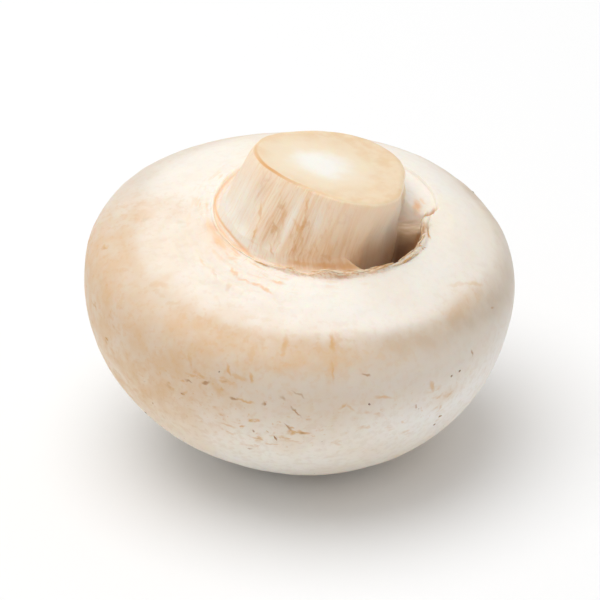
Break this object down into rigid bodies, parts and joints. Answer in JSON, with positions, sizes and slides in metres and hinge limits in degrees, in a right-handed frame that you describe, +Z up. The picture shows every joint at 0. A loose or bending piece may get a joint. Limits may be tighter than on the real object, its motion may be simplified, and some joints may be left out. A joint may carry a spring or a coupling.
{
  "type": "button mushroom",
  "caption": "Closed-cup button mushroom, picked and trimmed, lying on its pale domed cap with the cut stem up and the veil torn open on one side.",
  "frame": {"origin": "on the surface that it rests on, under the middle of its box", "axes": "+Z up, out of the surface and roughly along the stem towards its cut; -Y is the front, where the veil is whole; +X is the side where it is torn"},
  "size_m": [0.0502, 0.0496, 0.0383],
  "materials": {
    "mushroom_flesh": "matte"
  },
  "bodies": {
    "root": {"mushroom": "mushroom_flesh"}
  },
  "joints": []
}
